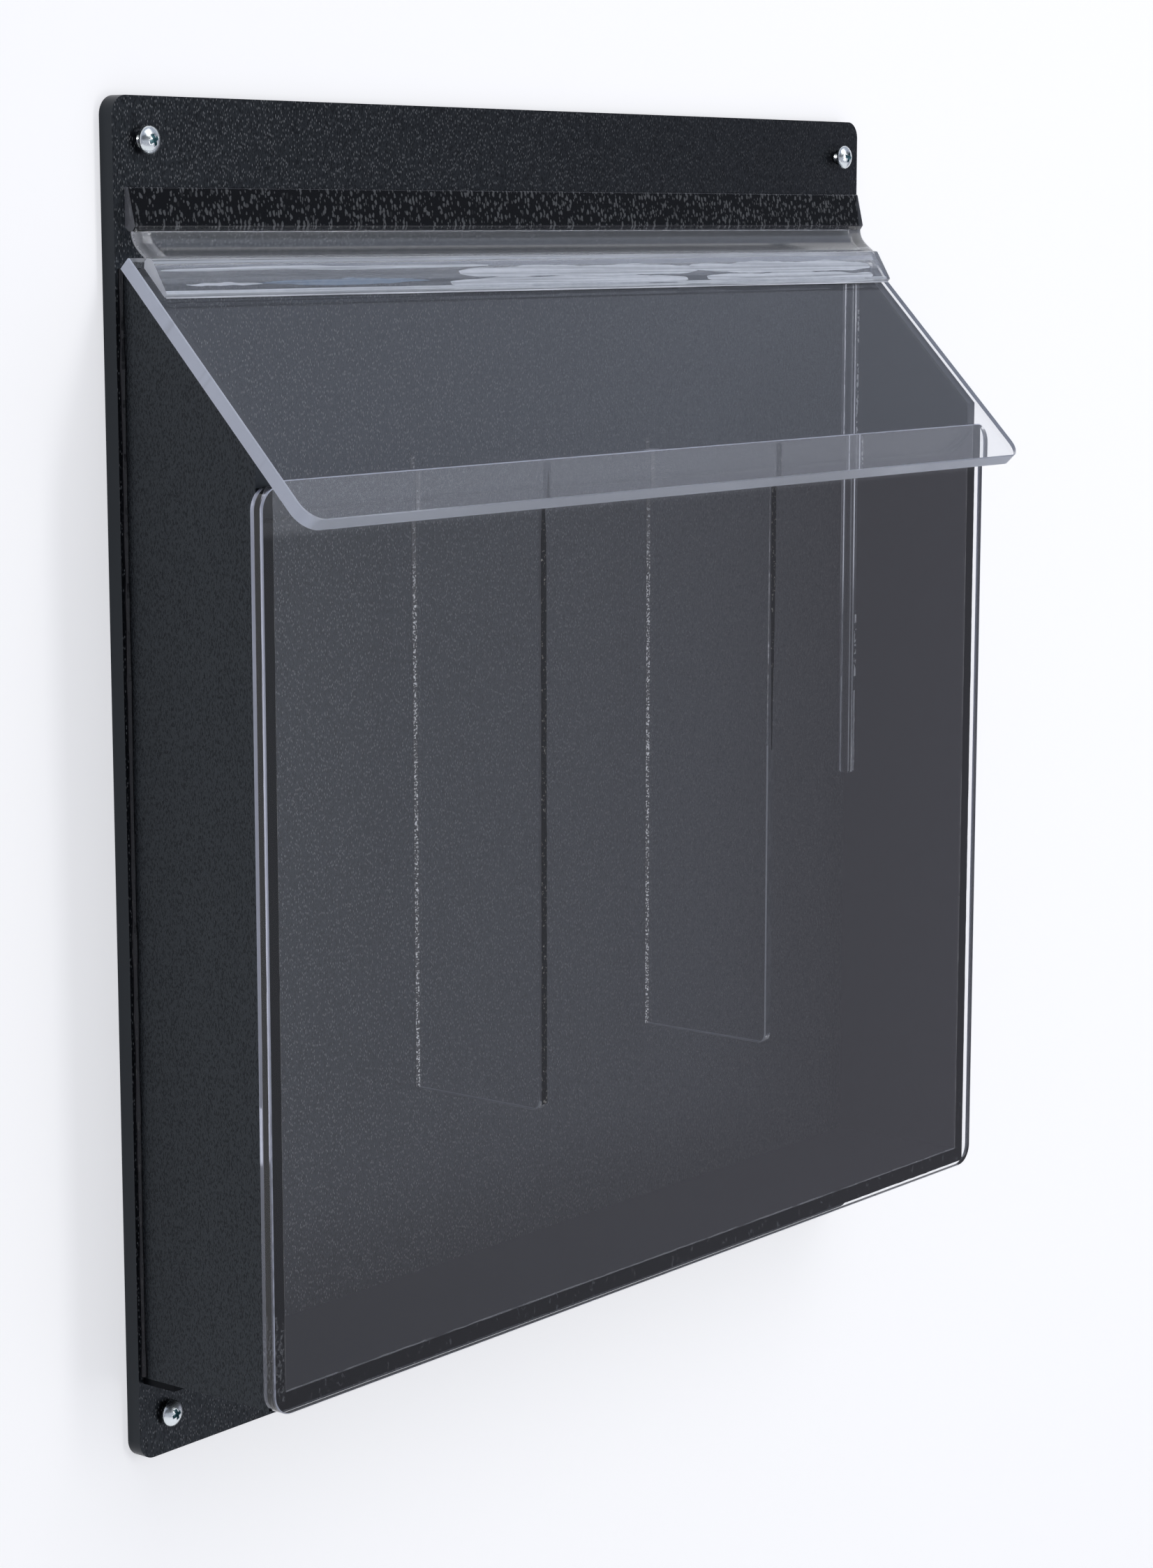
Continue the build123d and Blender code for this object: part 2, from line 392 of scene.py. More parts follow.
# %% Clear sheet finish
acrylic_bend = 1.49
sheet_hue, acrylic_tint = (0.985, 0.99, 1.0, 1), (0.93, 0.94, 0.96, 1)
saw_lumps, haze_lumps, step_lumps = 120, 60, 160.0
to_the_left = (-1, 0, 0)


def clear_body(tree, out, sockets, tint):
    """Covers the piece with a shader that bends light, but lets lamps through with this tint."""
    glass = add(tree, "BsdfPrincipled", sockets)
    passing = add(tree, "BsdfTransparent", {"Color": tint})
    path = add(tree, "LightPath").outputs
    lamp_ray = sums(tree, "MAXIMUM", path["Is Shadow Ray"], path["Is Diffuse Ray"])
    cover(tree, out, mixed(tree, lamp_ray, glass, passing))


def on_arris(tree, flat, most):
    """Most on the narrow slope between a face and an edge, and 0 on both of those."""
    past_edge, past_slope = between(tree, flat, 0.55, 0.65), between(tree, flat, 0.75, 0.85, most, 0.0)
    return sums(tree, "MULTIPLY", past_edge, past_slope)


def clear_sheet(name, across, edge_rough, edge_hue, sawn=None, bands=None, milk=None, marks=None):
    """Clear sheet, polished where it looks along across, with satin edges.

    The edges are duller towards sawn and banded in steps along bands. They scatter milk of the light:
    a share for all edges and one for the left end. Marks is a function that adds to that milk.
    """
    made, tree, out = finish(name)
    flat = add(tree, "Math", {0: facing(tree, across)}, operation="ABSOLUTE").outputs[0]
    edge = between(tree, flat, 0.75, 0.95, 1.0, 0.0)
    satin = between(tree, grain(tree, saw_lumps), 0.2, 0.8, edge_rough * 0.9, edge_rough * 1.1)
    if sawn:
        satin = sums(tree, "ADD", satin, between(tree, facing(tree, sawn), 0.3, 0.8, 0.0, 0.4))
        satin = sums(tree, "ADD", satin, on_arris(tree, flat, 0.35))
    haze = between(tree, grain(tree, haze_lumps, detail=4.0), 0.45, 0.75, 0.006, 0.024)
    rough = sums(tree, "ADD", sums(tree, "MULTIPLY", edge, satin), haze)
    if bands:
        along = add(tree, "VectorMath", {0: own_place(tree), 1: bands}, operation="DOT_PRODUCT")
        sockets = {"W": along.outputs["Value"], "Scale": step_lumps, "Detail": 3.0}
        steps = add(tree, "TexNoise", sockets, noise_dimensions="1D").outputs[0]
        step_hue = [x * 0.86 for x in edge_hue[:3]] + [1]
        edge_hue = blended(tree, between(tree, steps, 0.28, 0.46), step_hue, edge_hue)
    hue = blended(tree, edge, sheet_hue, edge_hue)
    sockets = {"Base Color": hue, "Roughness": rough, "IOR": acrylic_bend, "Transmission Weight": 1.0}
    if milk:
        milky = between(tree, facing(tree, to_the_left), 0.3, 0.8, *milk)
        milky = sums(tree, "MULTIPLY", edge, milky)
        if marks:
            milky = marks(tree, flat, milky)
        sockets["Transmission Weight"] = sums(tree, "SUBTRACT", 1.0, milky)
    clear_body(tree, out, sockets, acrylic_tint)
    return made


# %% [markdown]
# The front sheet has marks of its own. Its left end was polished only in a middle band and is milky
# in front of it and behind, and its arrises were scraped matt. A band at the top of its face is made
# milky too, as painted light that lightens it the way light between the lid and the sheet does. Milk
# is light that scatters instead of passing through, so all three are masks on the sheet's own
# coordinates that take from the light which the shader lets through.

# %% Marks of the front sheet
front_low, front_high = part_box("front_panel")
polish_front, polish_back = front_low.y + 0.8 * MM, front_high.y - 1.25 * MM
polish_fade = 0.08 * MM
milk_low, milk_high, least_milk = front_low.z + 15 * MM, front_low.z + 135 * MM, 0.3
scrape_lumps, lit_band_lumps = 400, 900
# Painted light: the milky band at the top of the front face stands for extra light between lid and sheet.
lit_band_low, lit_band_fade, lit_band_share = front_high.z - 12.0 * MM, 1.5 * MM, 0.037


def front_marks(tree, flat, milky):
    """Milk of the front sheet: its left end but for the polished band, its arrises, its painted lit band at
    the top.
    """
    depth, level = place_along(tree, "Y"), place_along(tree, "Z")
    clean = between(tree, depth, polish_front - polish_fade, polish_front + polish_fade)
    ended = between(tree, depth, polish_back - polish_fade, polish_back + polish_fade, 1.0, 0.0)
    clean = sums(tree, "MULTIPLY", clean, ended)
    milky = sums(tree, "MULTIPLY", milky, sums(tree, "SUBTRACT", 1.0, clean))
    milky = sums(tree, "MULTIPLY", milky, between(tree, level, milk_low, milk_high, least_milk, 1.0))
    patchy = between(tree, grain(tree, scrape_lumps), 0.35, 0.55, 0.35, 0.6)
    scraped = sums(tree, "MULTIPLY", on_arris(tree, flat, 1.0), patchy)
    milky = sums(tree, "MAXIMUM", milky, scraped)
    # Painted light: a milky band at the top of the face, lightening it.
    lit_band = between(tree, level, lit_band_low - lit_band_fade, lit_band_low + lit_band_fade, 0.0, lit_band_share)
    lit_band = sums(tree, "MULTIPLY", lit_band, between(tree, facing(tree, (0, -1, 0)), 0.8, 0.95))
    lit_band = sums(tree, "MULTIPLY", lit_band, between(tree, grain(tree, lit_band_lumps), 0.3, 0.7, 0.8, 1.2))
    return sums(tree, "MAXIMUM", milky, lit_band)


# %% Clear sheets
front_hue, lid_hue, divider_hue = (0.77, 0.80, 0.92, 1), (0.86, 0.905, 1.0, 1), (0.93, 0.94, 0.95, 1)
front_rough, lid_rough, divider_rough = 0.05, 0.3, 0.12
front_milk, lid_milk = (0.0, 0.65), (0.15, 0.82)
lid_mesh = nodes["lid_panel"].data
lid_normal = max(lid_mesh.polygons, key=lambda p: p.area * (p.normal.z > 0)).normal.copy()
lid_slope = Vector((0, -lid_normal.z, lid_normal.y))

front_clear = clear_sheet(
    "clear_acrylic_front", (0, 1, 0), front_rough, front_hue,
    sawn=(1, 0, 0), milk=front_milk, marks=front_marks,
)
lid_clear = clear_sheet(
    "clear_acrylic_lid", lid_normal, lid_rough, lid_hue, bands=lid_slope, milk=lid_milk
)
divider_clear = clear_sheet("clear_acrylic_divider", (1, 0, 0), divider_rough, divider_hue)
dress("front_panel", front_clear)
dress("lid_panel", lid_clear)
print("lid looks along", [round(x, 3) for x in lid_normal])

# %% [markdown]
# ## Weld films
# Solvent glue turns a black edge and a clear sheet into one piece: there is no air left between
# them, so the clear sheet shows the black straight, with no mirror in front of it. A thin black
# film just inside the back face of the front sheet does the same here. Its edges wander a little,
# as the glue did. A film is a grid laid along the joint, its long edges swayed by noise, then
# given a small thickness.

# %% Glue helpers
film_t, wander_l = 0.06 * MM, 6 * MM


def ribbon(bm, corner, along, across, rows, columns, sway, seed, taper=0.0, taper_from=0.9):
    """Lays a grid from corner, along by across, its long edges wandering by about sway.

    From the share taper_from of its length on, it loses the share taper of its width.
    """
    laid = bmesh.ops.create_grid(bm, x_segments=columns, y_segments=rows, size=0.5)["verts"]
    length, width = along.length, across.length
    for v in laid:
        u, t = v.co.x + 0.5, v.co.y + 0.5
        wander = noise.fractal(Vector((t * length / wander_l, seed + round(u), 0)), 1, 2, 4)
        spread = 1 - taper * max(0, t - taper_from) / (1 - taper_from)
        offset = ((u - 0.5) * spread + 0.5) + (2 * u - 1) * wander * sway / width
        v.co = corner + along * t + across * offset


def thicken(bm, thickness):
    """Gives a laid sheet its thickness, with its faces outward."""
    bm.normal_update()
    bmesh.ops.solidify(bm, geom=bm.faces[:], thickness=thickness)
    bmesh.ops.recalc_face_normals(bm, faces=bm.faces[:])


def piece(name, bm, materials, body):
    """Turns a finished bmesh into a named piece that rides on a body."""
    mesh = bpy.data.meshes.new(name)
    bm.to_mesh(mesh)
    bm.free()
    for m in materials:
        mesh.materials.append(m)
    made = bpy.data.objects.new(name, mesh)
    scene.collection.objects.link(made)
    if body:
        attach(made, body)
    print(name, len(mesh.polygons), "faces")
    return made


# %% Weld film finish
near_black, lifted_grey = (0.004, 0.0045, 0.005, 1), (0.055, 0.06, 0.066, 1)
lifted_below, lifted_above, most_lifted = front_low.z + 7 * MM, front_low.z + 30 * MM, 0.8


def dull_body(tree, hue, rough, mirror):
    """An opaque shader of this colour, roughness and share of mirror."""
    sockets = {"Base Color": hue, "Roughness": rough, "Specular IOR Level": mirror}
    return add(tree, "BsdfPrincipled", sockets)


weld_black, tree, out = finish("weld_black")
lift_off = between(tree, grain(tree, 700, (1, 1, 0.6), 4.0, warp=0.6), 0.60, 0.70)
low_down = between(tree, place_along(tree, "Z"), lifted_below, lifted_above, most_lifted, 0.0)
patches = sums(tree, "MULTIPLY", lift_off, low_down)
cover(tree, out, dull_body(tree, blended(tree, patches, near_black, lifted_grey), 0.7, 0.0))
print(weld_black.name, "lifts off low down")

# %% Weld films of the side panels and the floor
side_grid, floor_grid = (160, 3), (220, 3)
side_sway, floor_sway, weld_short = 0.12 * MM, 0.15 * MM, 0.4 * MM
panel_back = front_high.y

bm = bmesh.new()
for side, seed in (("left_side", 3.7), ("right_side", 9.1)):
    low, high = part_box(side)
    corner = Vector((low.x, panel_back - film_t, low.z))
    along = Vector((0, 0, front_high.z - weld_short - low.z))
    ribbon(bm, corner, along, Vector((high.x - low.x, 0, 0)), *side_grid, side_sway, seed)
floor_low, floor_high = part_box("floor_panel")
floor_wide = Vector((floor_high.x - floor_low.x, 0, 0))
corner = Vector((floor_low.x, panel_back - film_t, floor_low.z))
floor_thick = Vector((0, 0, floor_high.z - floor_low.z))
ribbon(bm, corner, floor_wide, floor_thick, *floor_grid, floor_sway, seed=5.3)
thicken(bm, film_t)
piece("front_weld_film", bm, [weld_black], "case")

# %% [markdown]
# ## Dividers with eased feet
# The arrises of each divider were eased with fine paper so that leaflets slide past them. An eased
# arris is matt and draws a thin pale line along the foot and, where glue hasn't wetted it, up the
# front: on the right divider for the lower half, on the left one not at all. A block with its front
# foot rounded, and these arrises then chamfered, makes it. Front and back reach a hair into the
# sheets they are glued to, because glue leaves no air there to mirror.

# %% Dividers
foot_round, foot_steps, eased, slip = 3 * MM, 8, 0.36 * MM, 0.02 * MM
paper_lumps, paper_dark, paper_pale = 2600, (0.14, 0.147, 0.155, 1), (0.27, 0.28, 0.29, 1)
eased_matt, tree, out = finish("eased_arris")
hue = blended(tree, grain(tree, paper_lumps), paper_dark, paper_pale)
cover(tree, out, dull_body(tree, hue, 0.55, 0.2))


def lies_at(edge, axis, place):
    """Whether both ends of an edge lie at this place along axis 0, 1 or 2."""
    return all(abs(v.co[axis] - place) < slip for v in edge.verts)


for name, wetted_whole in (("divider_left", True), ("divider_right", False)):
    low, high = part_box(name)
    low, high = low - Vector((0, slip, 0)), high + Vector((0, slip, 0))
    bm = bmesh.new()
    bmesh.ops.create_cube(bm, size=1)
    bmesh.ops.scale(bm, vec=high - low, verts=bm.verts[:])
    bmesh.ops.translate(bm, vec=(low + high) / 2, verts=bm.verts[:])
    foot = [e for e in bm.edges if lies_at(e, 1, low.y) and lies_at(e, 2, low.z)]
    bmesh.ops.bevel(
        bm, geom=foot, offset=foot_round, segments=foot_steps, profile=0.5, affect="EDGES", material=-1
    )
    at_front = [e for e in bm.edges if lies_at(e, 1, low.y)]
    upright_front = [e for e in at_front if abs(e.verts[0].co.z - e.verts[1].co.z) > foot_round]
    bmesh.ops.subdivide_edges(bm, edges=upright_front, cuts=1)
    dry_top = low.z + foot_round if wetted_whole else (low.z + foot_round + high.z) / 2
    arris = []
    for e in bm.edges:
        on_side = lies_at(e, 0, low.x) or lies_at(e, 0, high.x)
        is_dry = all(v.co.z < dry_top + slip for v in e.verts)
        if on_side and is_dry and not lies_at(e, 1, high.y):
            arris.append(e)
    rubbed = bmesh.ops.bevel(
        bm, geom=arris, offset=eased, segments=1, profile=0.5, affect="EDGES", material=-1
    )
    for f in rubbed["faces"]:
        f.material_index = 1
    bmesh.ops.recalc_face_normals(bm, faces=bm.faces[:])
    made = piece(name + "_eased", bm, [divider_clear, eased_matt], "case")
    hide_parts(name)

# %% [markdown]
# ## Glue lines of the dividers
# Each divider is glued to the plate behind it and to the front sheet. At the front the glue has
# wetted the edge: a ragged black line between grey margins, which on the right divider tapers off
# half way down. At the back it dried full of small bubbles, fewer towards the top, which catch the
# light as white specks over a dark shade. These are films like the welds, with a finish that scatters
# pale specks over black or veils what is behind it in patches.

# %% Glue line finishes
def speckled_glue(name, dark, pale, lumps, stretch, share):
    """Dried glue: dark where it has wetted the sheet, pale where bubbles are left."""
    made, tree, out = finish(name)
    bubbles = between(tree, grain(tree, lumps, stretch, 2.5, warp=0.8), *share)
    cover(tree, out, dull_body(tree, blended(tree, bubbles, dark, pale), 0.6, 0.0))
    return made


crust_lumps = 900


def veiled_glue(name, pale, lumps, stretch, share, most, thinned=None):
    """Thin dried glue that veils what is behind it in patches.

    Thinned gives two heights, between which it thins out upwards, and the share that is left.
    """
    made, tree, out = finish(name)
    patches = between(tree, grain(tree, lumps, stretch, 3.0, warp=0.6), *share, 0.0, most)
    if thinned:
        dense, thin, left = thinned
        thinning = between(tree, place_along(tree, "Z"), dense, thin, 1.0, left)
        patches = sums(tree, "MULTIPLY", patches, thinning)
    hue = blended(tree, grain(tree, crust_lumps), [x * 0.75 for x in pale] + [1], [*pale, 1])
    cover(tree, out, mixed(tree, patches, add(tree, "BsdfTransparent"), dull_body(tree, hue, 0.45, 0.3)))
    return made


bubble_grey, bubble_white, shade_brown = (0.22, 0.21, 0.19, 1), (0.95, 0.94, 0.91), (0.014, 0.013, 0.012)
margin_dark, margin_pale = (0.056, 0.058, 0.064, 1), (0.074, 0.076, 0.083, 1)
bubbles_thin = (38 * MM, 60 * MM, 0.2)
wetted = speckled_glue("glue_wetted", near_black, bubble_grey, 1700, (1, 1, 0.7), (0.62, 0.7))
greyed = speckled_glue("glue_greyed", margin_dark, margin_pale, 900, (1, 1, 0.3), (0.4, 0.6))
bubbled = veiled_glue(
    "glue_bubbled", bubble_white, 1050, (0.7, 1, 1.5), (0.54, 0.59), 1.0, bubbles_thin
)
shaded = veiled_glue("glue_shaded", shade_brown, 300, (1, 1, 0.4), (0.25, 0.4), 1.0)
print("glue finishes", wetted.name, greyed.name, bubbled.name, shaded.name)

# %% Divider glue lines
front_wetted, front_past, back_past = 2.3 * MM, 0.8 * MM, 0.15 * MM
front_sway, margin_sway, back_sway = 0.14 * MM, 0.03 * MM, 0.1 * MM
front_grid, margin_grid, back_grid, most_taper = (260, 2), (200, 2), (260, 2), 0.85

for name, start, end, taper_from, bare, seed in (
    ("divider_left", 0.01, 0.985, 0.9, 0.0, 11.3),
    ("divider_right", 1.0, 0.5, 0.4, eased, 17.9),
):
    low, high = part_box(name)
    wide, tall = high.x - low.x, high.z - low.z
    bm = bmesh.new()
    corner = Vector((low.x + front_past, panel_back - 3.5 * film_t, low.z + start * tall))
    along, across = Vector((0, 0, (end - start) * tall)), Vector((front_wetted, 0, 0))
    ribbon(bm, corner, along, across, *front_grid, front_sway, seed, most_taper, taper_from)
    held = len(bm.faces)
    corner = Vector((low.x + bare, panel_back - film_t, low.z + foot_round))
    along, across = Vector((0, 0, tall - foot_round)), Vector((wide - 2 * bare, 0, 0))
    ribbon(bm, corner, along, across, *margin_grid, margin_sway, seed + 1)
    bm.faces.ensure_lookup_table()
    for f in bm.faces[held:]:
        f.material_index = 1
    thicken(bm, film_t)
    piece(name + "_front_glue", bm, [wetted, greyed], "case")
    back_films = (("back_glue", shaded, 1, back_past), ("back_bubbles", bubbled, 3, -back_past))
    for kind, coat, layer, past in back_films:
        bm = bmesh.new()
        corner = Vector((low.x - past, plate_low.y - layer * film_t, low.z))
        along, across = Vector((0, 0, tall)), Vector((wide + 2 * past, 0, 0))
        ribbon(bm, corner, along, across, *back_grid, back_sway, seed + 2 * layer)
        thicken(bm, film_t)
        piece(f"{name}_{kind}", bm, [coat], "case")

# %% [markdown]
# Behind the front sheet the floor carries a thin pale line along the glue that climbed out of the
# joint, its whiteness a painted highlight, the side panels carry thin grey glue lines, and in the lower
# left corner the glue between edge and sheet has gone cloudy. The lines lie just behind the sheet and
# the cloud just inside it, so all three are films again.

# %% Pale lines along the welds
# Painted highlight: the pale grey of the floor's line stands for light caught along the glue's meniscus.
meniscus_highlight_grey, thin_grey, cloud_grey = (0.24, 0.245, 0.245), (0.13, 0.13, 0.12), (0.13, 0.135, 0.14)
meniscus_highlight = veiled_glue("glue_meniscus_highlight", meniscus_highlight_grey, 300, (0.3, 1, 1), (0.3, 0.5), 0.6)
thin_line = veiled_glue("glue_thin_line", thin_grey, 200, (1, 1, 0.2), (0.3, 0.55), 0.8)
floor_climb, floor_line_sway, floor_line_grid = 0.45 * MM, 0.2 * MM, (320, 2)
side_climb, side_line_sway, side_line_grid = 0.3 * MM, 0.08 * MM, (240, 2)
behind = panel_back + 2 * film_t

bm = bmesh.new()
corner = Vector((floor_low.x, behind, floor_high.z))
across = Vector((0, 0, floor_climb))
ribbon(bm, corner, floor_wide, across, *floor_line_grid, floor_line_sway, seed=61.3)
thicken(bm, film_t)
piece("floor_meniscus_highlight", bm, [meniscus_highlight], "case")

bm = bmesh.new()
along = Vector((0, 0, front_high.z - floor_high.z))
for x, turn, seed in ((floor_low.x, 1, 63.7), (floor_high.x, -1, 65.1)):
    corner = Vector((x, behind, floor_high.z))
    across = Vector((turn * side_climb, 0, 0))
    ribbon(bm, corner, along, across, *side_line_grid, side_line_sway, seed)
thicken(bm, film_t)
piece("side_glue_lines", bm, [thin_line], "case")

# %% Cloudy glue in the lower left corner
clouded = veiled_glue("glue_clouded", cloud_grey, 1300, (1, 1, 0.6), (0.5, 0.62), 0.6)
cloud_in, cloud_up, cloud_wide, cloud_tall = 0.25 * MM, 3 * MM, 5.4 * MM, 23 * MM
cloud_grid, cloud_sway = (120, 4), 0.3 * MM

bm = bmesh.new()
corner = Vector((front_low.x + cloud_in, panel_back - 2 * film_t, front_low.z + cloud_up))
along, across = Vector((0, 0, cloud_tall)), Vector((cloud_wide, 0, 0))
ribbon(bm, corner, along, across, *cloud_grid, cloud_sway, 67.9, taper=0.9)
thicken(bm, film_t)
piece("front_glue_clouds", bm, [clouded], "case")

# %% [markdown]
# ## The hinge strip
# The hinge is one clear extrusion: two leaves and, between them, a thin web that bends when the lid
# is lifted. Extruding leaves fine lines along its length, which a noise drawn out along the strip
# gives as a shallow relief, and the saw leaves its left end chalky. The web is made a little milky and
# rougher above and below its middle, which lightens it there.

# %% Drawn strip finish
drawn_lines, drawn_waves, wave_share = 1400, 90, 1.5
web_milk, web_rough = 0.035, 0.08
pvc_bend, pvc_tint = 1.53, (0.9, 0.91, 0.93, 1)


def drawn_strip(name, line_depth, hue, drawn=(0.004, 1, 1), trimmed=(), chalky=0.0, milky_span=None):
    """Clear extruded strip with fine lines along the way that drawn is small.

    Trimmed gives the ways that its dull edges look, chalky how white the saw left its left end, and
    the heights given last those of the foot and the head of a web made milky above and below its middle.
    """
    made, tree, out = finish(name)
    lines = grain(tree, drawn_lines, drawn, 3.0)
    waves = grain(tree, drawn_waves, [max(x, 0.2) for x in drawn])
    rough = between(tree, lines, 0.35, 0.75, 0.02, 0.1)
    for way in trimmed:
        rough = sums(tree, "ADD", rough, between(tree, facing(tree, way), 0.5, 0.9, 0.0, 0.3))
    relief = sums(tree, "ADD", lines, sums(tree, "MULTIPLY", waves, wave_share))
    bump = add(tree, "Bump", {"Height": relief, "Strength": 1.0, "Distance": line_depth})
    clear = 1.0
    if chalky:
        chalk = between(tree, facing(tree, to_the_left), 0.5, 0.9, 0.0, chalky)
        clear = sums(tree, "SUBTRACT", clear, chalk)
    if milky_span:
        foot, head = milky_span
        tall, level = head - foot, place_along(tree, "Z")
        # The web is made milky above and below its middle, which lightens it there.
        above = between(tree, level, foot + tall * 0.45, foot + tall * 0.7, 0.0, web_milk)
        below = between(tree, level, foot + tall * 0.1, foot + tall * 0.3, web_milk, 0.0)
        clear = sums(tree, "SUBTRACT", clear, sums(tree, "ADD", above, below))
        rough = sums(tree, "ADD", rough, web_rough)
    sockets = {"Base Color": hue, "Roughness": rough, "Normal": bump.outputs[0]}
    sockets.update({"IOR": pvc_bend, "Transmission Weight": clear})
    clear_body(tree, out, sockets, pvc_tint)
    return made


upper_hue, lower_hue = (0.95, 0.96, 0.98, 1), (0.95, 0.965, 0.98, 1)
upper_clear = drawn_strip(
    "clear_pvc_upper", 0.004 * MM, upper_hue, trimmed=(to_the_left,), chalky=0.2
)
lower_clear = drawn_strip(
    "clear_pvc_lower", 0.006 * MM, lower_hue, trimmed=(lid_slope, to_the_left), chalky=0.6
)
dress("hinge_upper_leaf", upper_clear)
dress("hinge_lower_leaf", lower_clear)
print("hinge leaves dressed")

# %% [markdown]
# The web is laid as a grid on the same curve as in the frame: it leaves the upper leaf straight down
# and meets the lower leaf nearly along the lid. It is then thickened.

# %% Hinge web
lid_top = max(v.co.dot(lid_normal) for v in lid_mesh.vertices)
lid_edge = min(v.co.dot(lid_slope) for v in lid_mesh.vertices)


def on_lid(x, down, out):
    """Point at x across the lid, so far down its top face and so far out from it."""
    return Vector((x, 0, 0)) + lid_slope * (lid_edge + down) + lid_normal * (lid_top + out)


leaf_inset, web_height, web_t = 2.6 * MM, 1.9 * MM, 0.6 * MM
leave_l, arrive_l, arrive_turn = 3.2 * MM, 3.584 * MM, math.radians(-9.2)
web_rows, web_columns, web_hue = 20, 40, (0.96, 0.97, 0.98, 1)
leaf_low, leaf_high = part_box("hinge_upper_leaf")
bow_start = Vector((0, plate_low.y - web_height, leaf_low.z))
bow_end = on_lid(0, leaf_inset, web_height)
leave = Vector((0, 0, -1)) * leave_l
arrive = Matrix.Rotation(arrive_turn, 3, "X") @ lid_slope * arrive_l

bm = bmesh.new()
for v in bmesh.ops.create_grid(bm, x_segments=web_columns, y_segments=web_rows, size=0.5)["verts"]:
    u, t = v.co.x + 0.5, v.co.y + 0.5
    r = 1 - t
    bow = bow_start * r**3 + (bow_start + leave) * 3 * r * r * t
    bow += (bow_end - arrive) * 3 * r * t * t + bow_end * t**3
    v.co = bow + Vector((leaf_low.x + u * (leaf_high.x - leaf_low.x), 0, 0))
bmesh.ops.recalc_face_normals(bm, faces=bm.faces[:])
bmesh.ops.solidify(bm, geom=bm.faces[:], thickness=web_t)
bmesh.ops.recalc_face_normals(bm, faces=bm.faces[:])
for f in bm.faces:
    f.smooth = True
web_clear = drawn_strip(
    "clear_pvc_web", 0.0015 * MM, web_hue,
    trimmed=(to_the_left,), chalky=0.5, milky_span=(bow_end.z, bow_start.z),
)
web = piece("hinge_web_bent", bm, [web_clear], None)
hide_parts("hinge_web")
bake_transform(web)

# %% [markdown]
# The upper leaf is glued over the plate's grain. Where the glue fills the grain the plate shows deep
# black through the clear leaf, and where it misses a tip a pale fleck is left, enlarged by the leaf.
# The flecks are pebbles like those of the plate, in two sizes, their outlines made ragged by noise.

# %% Glue behind the upper leaf
leaf_black, fleck_grey = (0.004, 0.0045, 0.006, 1), (0.115, 0.117, 0.118, 1)
large_flecks, small_flecks = (640, 0.6, 0.62, 0.35), (1150, 0.5, 0.56, 0.5)
leaf_glue, tree, out = finish("glue_behind_leaf")
ragged = sums(tree, "MULTIPLY", grain(tree, 1300, (1, 1, 0.6)), 0.7)
flecks = 0.0
for cells, tall, wide, share in (large_flecks, small_flecks):
    middle, chance = pebbles(tree, cells, tall, plate_turn)
    spots = between(tree, sums(tree, "ADD", middle, ragged), wide - 0.05, wide + 0.05, 1.0, 0.0)
    spots = sums(tree, "MULTIPLY", spots, between(tree, chance, share, share + 0.15))
    flecks = sums(tree, "MAXIMUM", flecks, spots)
cover(tree, out, dull_body(tree, blended(tree, flecks, leaf_black, fleck_grey), 0.6, 0.0))

glue_short, glue_foot, glue_sway, glue_grid = 0.35 * MM, 1.05 * MM, 0.12 * MM, (300, 3)
bm = bmesh.new()
corner = Vector((leaf_low.x + glue_short, plate_low.y - film_t, leaf_low.z + glue_foot))
along = Vector((leaf_high.x - leaf_low.x - 2 * glue_short, 0, 0))
across = Vector((0, 0, leaf_high.z - glue_short - corner.z))
ribbon(bm, corner, along, across, *glue_grid, glue_sway, seed=23.1)
thicken(bm, film_t)
piece("hinge_plate_glue", bm, [leaf_glue], "case")

# %% [markdown]
# The lower leaf is glued to the lid, and there the glue was spread by hand: long whitish smears with
# soft ends, two of them with an upper and a lower lobe, and a thin bluish one to the left. Fine white
# lines along the edges of the leaf are laid the same way, as painted light for the glow of those edges.
# A smear is a grid whose width swells and closes along its length.

# %% Smear finishes
def smeared_glue(name, thin, thick, least, most):
    """Glue drawn out in strokes along the strip, covering from least to most of what is behind."""
    made, tree, out = finish(name)
    strokes = grain(tree, 1500, (0.012, 1, 1), 3.0)
    hue = blended(tree, grain(tree, 700, (0.5, 1, 1)), thin, thick)
    share = between(tree, strokes, 0.3, 0.62, least, most)
    cover(tree, out, mixed(tree, share, add(tree, "BsdfTransparent"), dull_body(tree, hue, 0.5, 0.2)))
    return made


white_thin, white_thick = (0.74, 0.77, 0.81, 1), (0.95, 0.97, 1.0, 1)
blue_thin, blue_thick = (0.30, 0.42, 0.58, 1), (0.55, 0.62, 0.70, 1)
smear_and_glow_white = smeared_glue("glue_smeared_and_glow", white_thin, white_thick, 0.35, 1.0)
smear_blue = smeared_glue("glue_smeared_thin", blue_thin, blue_thick, 0.1, 0.5)
print("smear finishes", smear_and_glow_white.name, smear_blue.name)

